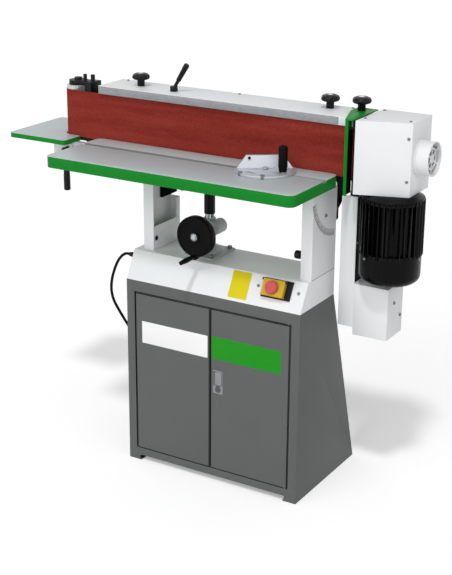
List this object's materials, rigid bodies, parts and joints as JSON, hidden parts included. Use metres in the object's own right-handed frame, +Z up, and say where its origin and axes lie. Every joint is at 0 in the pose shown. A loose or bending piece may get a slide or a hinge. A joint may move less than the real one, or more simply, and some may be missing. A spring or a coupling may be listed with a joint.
{
  "type": "edge sander",
  "caption": "Floor-standing edge sander: a belt head on a tilting frame over a rack-lifted table, with a mitre gauge, end table, motor and dust hood on a tapered cabinet.",
  "frame": {"origin": "centre of the floor bolt pattern, on the floor", "axes": "+X along the belt towards the motor, +Y to the back, +Z up"},
  "size_m": [1.41, 0.6596, 1.259],
  "materials": {
    "cabinet_grey": "dark grey textured paint",
    "white_paint": "white textured paint",
    "green_paint": "green paint",
    "black_paint": "black paint",
    "table_iron": "ground top, green painted rim",
    "steel": "ground steel",
    "chrome": "polished",
    "grey_cast": "grey paint",
    "belt_cloth": "brown abrasive cloth",
    "black_plastic": "moulded",
    "black_rubber": "moulded",
    "yellow_plastic": "moulded",
    "red_plastic": "moulded",
    "green_plastic": "moulded",
    "cast_light": "cast"
  },
  "bodies": {
    "stand": {"cabinet_shell": "cabinet_grey", "door_hinge_pins": "steel", "console_box": "white_paint", "left_column": "white_paint", "right_column": "white_paint", "hinge_ears": "black_paint", "tilt_pivot_bolts": "steel", "lift_guide": "grey_cast", "stand_bolts": "steel", "switch_base": "black_plastic", "cord_gland": "black_plastic", "mains_cord": "black_rubber", "cord_coil": "black_rubber", "cord_tie": "black_plastic", "mains_plug": "black_rubber"},
    "left_door": {"left_door": "cabinet_grey"},
    "right_door": {"right_door": "cabinet_grey"},
    "latch": {"latch_pull": "chrome"},
    "lock": {"lock_barrel": "chrome"},
    "flap": {"switch_flap": "yellow_plastic"},
    "mushroom": {"stop_mushroom": "red_plastic"},
    "start": {"start_button": "green_plastic"},
    "off": {"off_button": "red_plastic"},
    "table": {"main_table": "table_iron", "table_bracket": "black_paint", "lift_post": "steel"},
    "wheel": {"pinion_shaft": "steel", "handwheel": "black_plastic"},
    "crank": {"crank_grip": "black_plastic"},
    "mitre_slide": {"mitre_bar": "steel"},
    "mitre_fence": {"mitre_head": "cast_light"},
    "mitre_grip": {"mitre_handle": "black_plastic"},
    "head": {"head_frame": "black_paint", "tilt_quadrants": "black_paint", "platen": "steel", "top_cover": "white_paint", "rear_guard": "white_paint", "sanding_belt": "belt_cloth", "motor_channel": "white_paint", "capacitor_box": "white_paint", "motor_frame": "black_paint", "motor_end_shield": "black_paint", "fan_cowl": "black_plastic", "drive_hood": "white_paint", "dust_port": "white_paint", "head_screws": "steel", "end_bracket": "white_paint"},
    "drive": {"rotor_shaft": "steel", "drive_drum": "cast_light"},
    "idler_slide": {"idler_yoke": "black_paint"},
    "idler": {"idler_drum": "chrome"},
    "lever": {"tension_lever": "black_plastic"},
    "tracking": {"tracking_knob": "black_plastic"},
    "stop": {"work_stop": "green_paint"},
    "stop_lock": {"stop_knob": "black_plastic"},
    "cover_lock": {"cover_knob": "black_plastic"},
    "side_table": {"end_table": "table_iron"},
    "side_clamp": {"end_clamp": "black_plastic"},
    "tilt_lock_left": {"tilt_knob_left": "black_plastic"},
    "tilt_lock_right": {"tilt_knob_right": "black_plastic"}
  },
  "joints": [
    {"name": "left_door_hinge", "type": "hinge", "parent": "stand", "child": "left_door", "pos_m": [-0.265, -0.191, 0.31], "axis": [0, 0, -1], "range_deg": [0, 110]},
    {"name": "right_door_hinge", "type": "hinge", "parent": "stand", "child": "right_door", "pos_m": [0.265, -0.191, 0.31], "axis": [0, 0, 1], "range_deg": [0, 110]},
    {"name": "latch_hinge", "type": "hinge", "parent": "right_door", "child": "latch", "pos_m": [0.0285, -0.193, 0.37004], "axis": [-1, 0, 0], "range_deg": [0, 40]},
    {"name": "lock_turn", "type": "hinge", "parent": "right_door", "child": "lock", "pos_m": [0.0285, -0.19, 0.31504], "axis": [0, -1, 0], "range_deg": [0, 90]},
    {"name": "flap_hinge", "type": "hinge", "parent": "stand", "child": "flap", "pos_m": [0.20652, -0.17313, 0.69431], "axis": [-1, 0, 0], "range_deg": [0, 90]},
    {"name": "mushroom_press", "type": "slide", "parent": "flap", "child": "mushroom", "axis": [0, 0.8815, -0.4722], "range_m": [0, 0.004], "stiffness_N_per_m": 400},
    {"name": "start_press", "type": "slide", "parent": "stand", "child": "start", "axis": [0, 0.8815, -0.4722], "range_m": [0, 0.004], "stiffness_N_per_m": 400},
    {"name": "off_press", "type": "slide", "parent": "stand", "child": "off", "axis": [0, 0.8815, -0.4722], "range_m": [0, 0.004], "stiffness_N_per_m": 400},
    {"name": "table_lift", "type": "slide", "parent": "stand", "child": "table", "axis": [0, 0, 1], "range_m": [-0.008, 0.08]},
    {"name": "wheel_turn", "type": "hinge", "parent": "stand", "child": "wheel", "pos_m": [-0.0596, -0.15, 0.787], "axis": [0, 1, 0], "range_deg": [-30, 290]},
    {"name": "crank_spin", "type": "hinge", "parent": "wheel", "child": "crank", "pos_m": [-0.0596, -0.228, 0.7265], "axis": [0, 1, 0], "continuous": true},
    {"name": "mitre_travel", "type": "slide", "parent": "table", "child": "mitre_slide", "axis": [1, 0, 0], "range_m": [-0.44, 0.08]},
    {"name": "fence_swivel", "type": "hinge", "parent": "mitre_slide", "child": "mitre_fence", "pos_m": [0.137, -0.12, 1.003], "axis": [0, 0, 1], "range_deg": [-5, 115]},
    {"name": "mitre_grip_turn", "type": "hinge", "parent": "mitre_slide", "child": "mitre_grip", "pos_m": [0.19505, -0.12, 1.04], "axis": [0, 0, 1], "continuous": true},
    {"name": "head_tilt", "type": "hinge", "parent": "stand", "child": "head", "pos_m": [0, 0.0108, 0.953], "axis": [-1, 0, 0], "range_deg": [0, 90]},
    {"name": "drive_spin", "type": "hinge", "parent": "head", "child": "drive", "pos_m": [0.484, 0.0108, 1.06], "axis": [0, 0, 1], "continuous": true},
    {"name": "idler_travel", "type": "slide", "parent": "head", "child": "idler_slide", "axis": [1, 0, 0], "range_m": [0, 0.012]},
    {"name": "idler_spin", "type": "hinge", "parent": "idler_slide", "child": "idler", "pos_m": [-0.628, 0.0108, 1.067], "axis": [0, 0, 1], "continuous": true},
    {"name": "lever_swing", "type": "hinge", "parent": "head", "child": "lever", "pos_m": [-0.26537, 0.0158, 1.176], "axis": [0, 0, 1], "range_deg": [0, 100]},
    {"name": "tracking_turn", "type": "hinge", "parent": "head", "child": "tracking", "pos_m": [-0.40019, 0.0338, 1.188], "axis": [0, 0, 1], "continuous": true},
    {"name": "stop_travel", "type": "slide", "parent": "head", "child": "stop", "axis": [0, -1, 0], "range_m": [0, 0.025]},
    {"name": "stop_lock_turn", "type": "hinge", "parent": "head", "child": "stop_lock", "pos_m": [0.3535, 0.055, 1.19], "axis": [0, 0, 1], "continuous": true},
    {"name": "cover_lock_turn", "type": "hinge", "parent": "head", "child": "cover_lock", "pos_m": [0.2525, 0.0548, 1.188], "axis": [0, 0, 1], "continuous": true},
    {"name": "side_table_lift", "type": "slide", "parent": "head", "child": "side_table", "axis": [0, 0, 1], "range_m": [-0.008, 0.025]},
    {"name": "side_clamp_swing", "type": "hinge", "parent": "head", "child": "side_clamp", "pos_m": [-0.656, -0.026, 0.94], "axis": [0, 1, 0], "range_deg": [-45, 45]},
    {"name": "tilt_lock_left_turn", "type": "hinge", "parent": "stand", "child": "tilt_lock_left", "pos_m": [-0.25, 0.02382, 0.87914], "axis": [1, 0, 0], "continuous": true},
    {"name": "tilt_lock_right_turn", "type": "hinge", "parent": "stand", "child": "tilt_lock_right", "pos_m": [0.274, 0.02382, 0.87914], "axis": [1, 0, 0], "continuous": true}
  ],
  "couplings": [
    {"joint": "wheel_turn", "follows": "table_lift", "rad_per_m": 62.5},
    {"joint": "idler_spin", "follows": "drive_spin", "ratio": 1},
    {"joint": "lever_swing", "follows": "idler_travel", "rad_per_m": 145}
  ]
}
